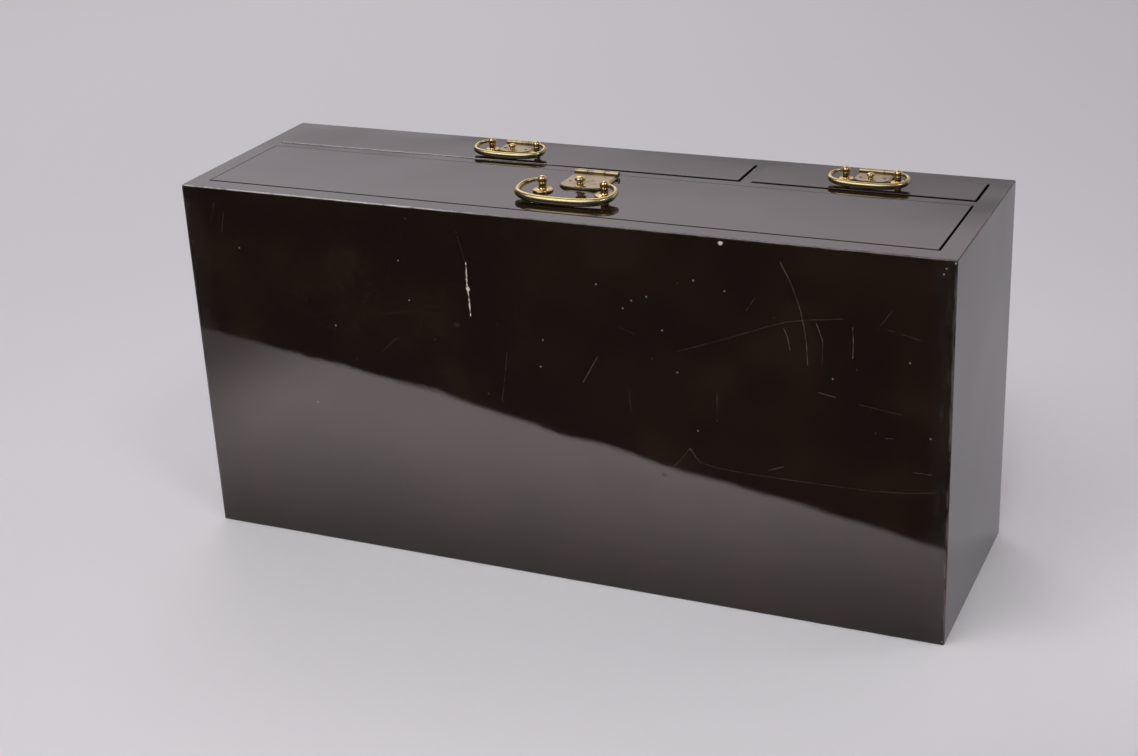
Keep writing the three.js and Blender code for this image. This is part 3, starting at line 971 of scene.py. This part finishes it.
def tray_wood():
    """Thinly lacquered wood: stretched noise for the grain, in colour, sheen and a low relief."""
    finish = Finish(bpy.data.materials.new("thin_lacquer_on_wood"))
    place = finish.place_mm()
    facing = abs(finish.parts(finish.node("ShaderNodeTexCoord", output=1))[0])
    along = finish.vector("MULTIPLY", place, ALONG_BOX)
    boards = finish.blend(facing, along, finish.vector("MULTIPLY", place, FRONT_TO_BACK))
    grain = finish.noise(boards, GRAIN_MM, detail=5, roughness=0.6)
    broad = finish.noise(boards, BROAD_MM, detail=2)
    colour = finish.blend(finish.ramp(0.6 * grain + 0.4 * broad, 0.38, 0.66), TRAY_DARK, TRAY_LIGHT)
    bump = finish.node("ShaderNodeBump", None, {"Strength": 0.25, "Distance": 0.0003, "Height": grain})
    return finish.surface(Base_Color=colour, Roughness=0.38 + 0.2 * grain, Normal=bump, IOR=1.5)


tray_finish = tray_wood()
for tray in trays:
    tray.data.materials.append(tray_finish)

# %% [markdown]
# ## Brass
# The cast rounds are handled often, so they stay bright and a little green-gold. The sheets are duller,
# with a pinkish tan tarnish and darker clouds. Both are metal all through: colour and sheen vary, and a
# fine relief breaks the highlights as old polishing marks do.


# %% Brass finishes
TARNISH_MM = 5.5
FINE_MM = 0.8
TARNISH_FROM = 0.62
TARNISH_FULL = 0.78


def brass(name, bright, dull, share, rough_low, rough_high):
    """Aged brass: bright metal under clouds of tarnish that are duller in colour and rougher."""
    finish = Finish(bpy.data.materials.new(name))
    place = finish.place_mm()
    cloud = finish.noise(place, TARNISH_MM, detail=4, roughness=0.55)
    fine = finish.noise(place, FINE_MM, detail=2)
    tarnish = finish.ramp(0.8 * cloud + 0.2 * fine, TARNISH_FROM - share, TARNISH_FULL - share)
    colour = finish.blend(tarnish, bright, dull)
    rough = rough_low + (rough_high - rough_low) * tarnish
    bump = finish.node("ShaderNodeBump", None, {"Strength": 0.05, "Distance": 0.0001, "Height": cloud})
    return finish.surface(Base_Color=colour, Roughness=rough.held(), Normal=bump, Metallic=1.0)


rounds = posts + knobs
sheets = covers + plates
# Pieces, name of the finish, bright colour, dull colour, share of tarnish, and roughness of both.
BRASSES = (
    (rounds, "rubbed_brass", (0.66, 0.49, 0.22, 1), (0.46, 0.33, 0.13, 1), 0.12, 0.16, 0.26),
    (bails, "handled_brass", (0.47, 0.385, 0.195, 1), (0.42, 0.34, 0.17, 1), 0.14, 0.265, 0.275),
    (sheets, "tarnished_sheet_brass", (0.40, 0.325, 0.20, 1), (0.28, 0.215, 0.14, 1), 0.14, 0.3, 0.44),
    # The rivets' near-black colour is painted shade, standing for two small dark holes.
    (rivets, "dark_rivet_brass", (0.10, 0.075, 0.045, 1), (0.04, 0.03, 0.022, 1), 0.16, 0.4, 0.6),
)
for pieces, *looks in BRASSES:
    metal = brass(*looks)
    for piece in pieces:
        piece.data.materials.append(metal)

# %% [markdown]
# ## Floor
# The box lies on a wide pale sheet of paper, which is the plainest stage for a dark, shiny thing. The
# floor is one flat card, large enough that its edge never shows.

# %% Floor
FLOOR_HALF = 20.0
FLOOR_COLOUR = (0.76, 0.74, 0.77, 1)


def flat_card(name, low, high, z):
    """A level rectangle between two corners at a height, in metres, marked as part of the stage."""
    mesh = bpy.data.meshes.new(name)
    corners = [(low[0], low[1], z), (high[0], low[1], z), (high[0], high[1], z), (low[0], high[1], z)]
    mesh.from_pydata(corners, [], [(0, 1, 2, 3)])
    card = bpy.data.objects.new(name, mesh)
    bpy.context.scene.collection.objects.link(card)
    return card


floor = flat_card("pale_floor", (-FLOOR_HALF, -FLOOR_HALF), (FLOOR_HALF, FLOOR_HALF), 0.0)
paper = Finish(bpy.data.materials.new("pale_paper"))
floor.data.materials.append(paper.surface(Base_Color=FLOOR_COLOUR, Roughness=0.8, Specular_IOR_Level=0.2))

# %% [markdown]
# ## What the base reflects
# Polished lacquer shows what lies in front of it. In the photograph the pale sheet ends a little way
# off and the room beyond is dark, so the base is split into a dark upper part and a pale lower part. A
# glowing card that only reflections can see lies just over the floor and paints that reflection: black
# beyond a straight edge, pale inside it, with painted shade towards the box, where the box keeps the
# light off, and a painted falloff towards both ends. It shines on the lacquered pieces alone, because
# the brass in the photograph shows no such light below.

# %% Card seen in reflections
EDGE_LEFT = np.array([-418.0, -343.0])
EDGE_RIGHT = np.array([192.0, -175.0])
EDGE_SLOPE = (EDGE_RIGHT - EDGE_LEFT)[1] / (EDGE_RIGHT - EDGE_LEFT)[0]
EDGE_LEVEL = EDGE_LEFT[1] - EDGE_SLOPE * EDGE_LEFT[0]
BASE_FACE = low_corner[1]
CARD_HALF = 4.0
CARD_LIFT = 0.0004
CARD_OFF = 0.001
# Colour of the card's glow, a painted reflection of the pale sheet.
PAINTED_SHEET_REFLECTION = (1.0, 0.86, 0.9)

far_corner = (CARD_HALF, BASE_FACE * MM - CARD_OFF)
card = flat_card("reflection_card", (-CARD_HALF, -CARD_HALF), far_corner, CARD_LIFT)
sheen = Finish(bpy.data.materials.new("painted_reflection_of_sheet_and_room"))
x, y, _ = sheen.parts(sheen.place_mm())
# Painted reflection: the pale sheet inside the edge, painted shade near the box, and dimmer ends.
inside = sheen.ramp(y - (EDGE_SLOPE * x + EDGE_LEVEL), -3.0, 5.0)
painted_shade_towards_box = sheen.ramp(BASE_FACE - y, -40.0, 190.0, 0.4, 2.2)
along = sheen.ramp(x, -400.0, -270.0, 0.3, 1.0) * sheen.ramp(x, 60.0, 220.0, 1.0, 0.8)
glow = sheen.vector("SCALE", PAINTED_SHEET_REFLECTION, scale=inside * painted_shade_towards_box * along)
shine = sheen.surface(Base_Color=(0, 0, 0, 1), Emission_Color=glow, Emission_Strength=1.0)
card.data.materials.append(shine)
card.visible_camera = False
card.visible_diffuse = False
card.visible_shadow = False
card.visible_transmission = False
lacquered = bpy.data.collections.new("lacquered_pieces")
for piece in (case, *fronts):
    lacquered.objects.link(piece)
card.light_linking.receiver_collection = lacquered

# %% [markdown]
# ## Light
# A large soft box stands high to the left of the camera and a small one to the right; on the brass they
# show as pairs of highlights. A third lights the paper behind the box, and two weak fills lighten the
# paper in front and by the right end without showing in any reflection. The rest is a pale backdrop
# behind the box, which the drawer fronts mirror, and a dim room in front, which keeps the brass dark
# below.

# %% Soft boxes
# Name, place, target, side in metres, power in watts, spread in degrees, and whether reflections show it.
SOFT_BOXES = (
    ("left_soft_box", (-1.2, -1.7, 2.9), (0, 0, 0.1), 2.6, 50, 180, True),
    ("right_soft_box", (1.15, -0.8, 2.1), (0, 0, 0.1), 0.5, 6, 180, True),
    ("back_soft_box", (-1.1, 1.6, 1.9), (-1.1, 1.5, 0), 1.2, 10, 180, True),
    ("front_fill", (0.3, -1.3, 1.6), (0.02, -0.18, 0), 0.4, 0.45, 36, False),
    ("end_fill", (0.9, 0.3, 0.9), (0.27, 0.0, 0), 0.2, 0.03, 22, False),
)


def aimed(place, target):
    """Matrix of a lamp at a place whose -Z looks at the target, with its X level."""
    back = np.subtract(place, target)
    back = back / np.linalg.norm(back)
    side = np.cross((0, 0, 1), back)
    side = side / np.linalg.norm(side)
    turn = np.stack([side, np.cross(back, side), back], axis=1)
    return Matrix.Translation(place) @ Matrix(turn.tolist()).to_4x4()


for name, place, target, size, power, spread, mirrored in SOFT_BOXES:
    lamp = bpy.data.lights.new(name, "AREA")
    lamp.shape = "SQUARE"
    lamp.size = size
    lamp.energy = power
    lamp.spread = math.radians(spread)
    light = bpy.data.objects.new(name, lamp)
    light.matrix_world = aimed(place, target)
    light.visible_glossy = mirrored
    bpy.context.scene.collection.objects.link(light)
    print(name, "gives", power, "W")

# %% Backdrop and room
BACKDROP = (1.0, 0.915, 0.98, 1)
DIM_ROOM = (0.05, 0.0485, 0.05, 1)
CEILING = (0.25, 0.243, 0.25, 1)

world = bpy.data.worlds.new("pale_backdrop_and_dim_room")
room = Finish(world)
x, y, z = room.parts(room.node("ShaderNodeTexCoord", output=0))
around = room.blend(room.ramp(z, 0.35, 0.9), DIM_ROOM, CEILING)
behind = room.ramp(y, 0.25, 0.62)
colour = room.blend(behind, around, BACKDROP)
band = room.ramp(z - 0.17 * x, 0.32, 0.385, 0.5, 1.02) * room.ramp(z, 0.45, 0.8, 1.0, 0.2)
strength = 1 - behind + behind * band
sky = room.node("ShaderNodeBackground", None, {"Color": colour, "Strength": strength})
room.node("ShaderNodeOutputWorld", None, {"Surface": sky})
bpy.context.scene.world = world
bpy.context.scene.view_settings.view_transform = "Standard"
print("backdrop and room have", len(room.tree.nodes), "nodes")

# %% [markdown]
# ## Camera
# The camera was solved from the seven corners of the box that the photograph shows. Its place, the way
# it looks and its lens are given here in the box's own frame; the image is taken to be 1138 by 756.

# %% Camera
CAMERA_MM = np.array([417.88, -932.38, 535.89])
LOOK = np.array([-0.38817, 0.83305, -0.39415])
RIGHT = np.array([0.91359, 0.40404, -0.04579])
FOCAL_PIXELS = 1907.66
IMAGE_WIDTH = 1138
SENSOR = 36.0

lens = bpy.data.cameras.new("photo_lens")
lens.sensor_fit = "HORIZONTAL"
lens.sensor_width = SENSOR
lens.lens = SENSOR * FOCAL_PIXELS / IMAGE_WIDTH
lens.clip_start = 0.01
lens.clip_end = 50
camera = bpy.data.objects.new("photo_camera", lens)
turn = np.stack([RIGHT, np.cross(RIGHT, LOOK), -LOOK], axis=1)
camera.matrix_world = Matrix.Translation(CAMERA_MM * MM) @ Matrix(turn.tolist()).to_4x4()
bpy.context.scene.collection.objects.link(camera)
bpy.context.scene.camera = camera
print("lens", round(lens.lens, 2), "mm")
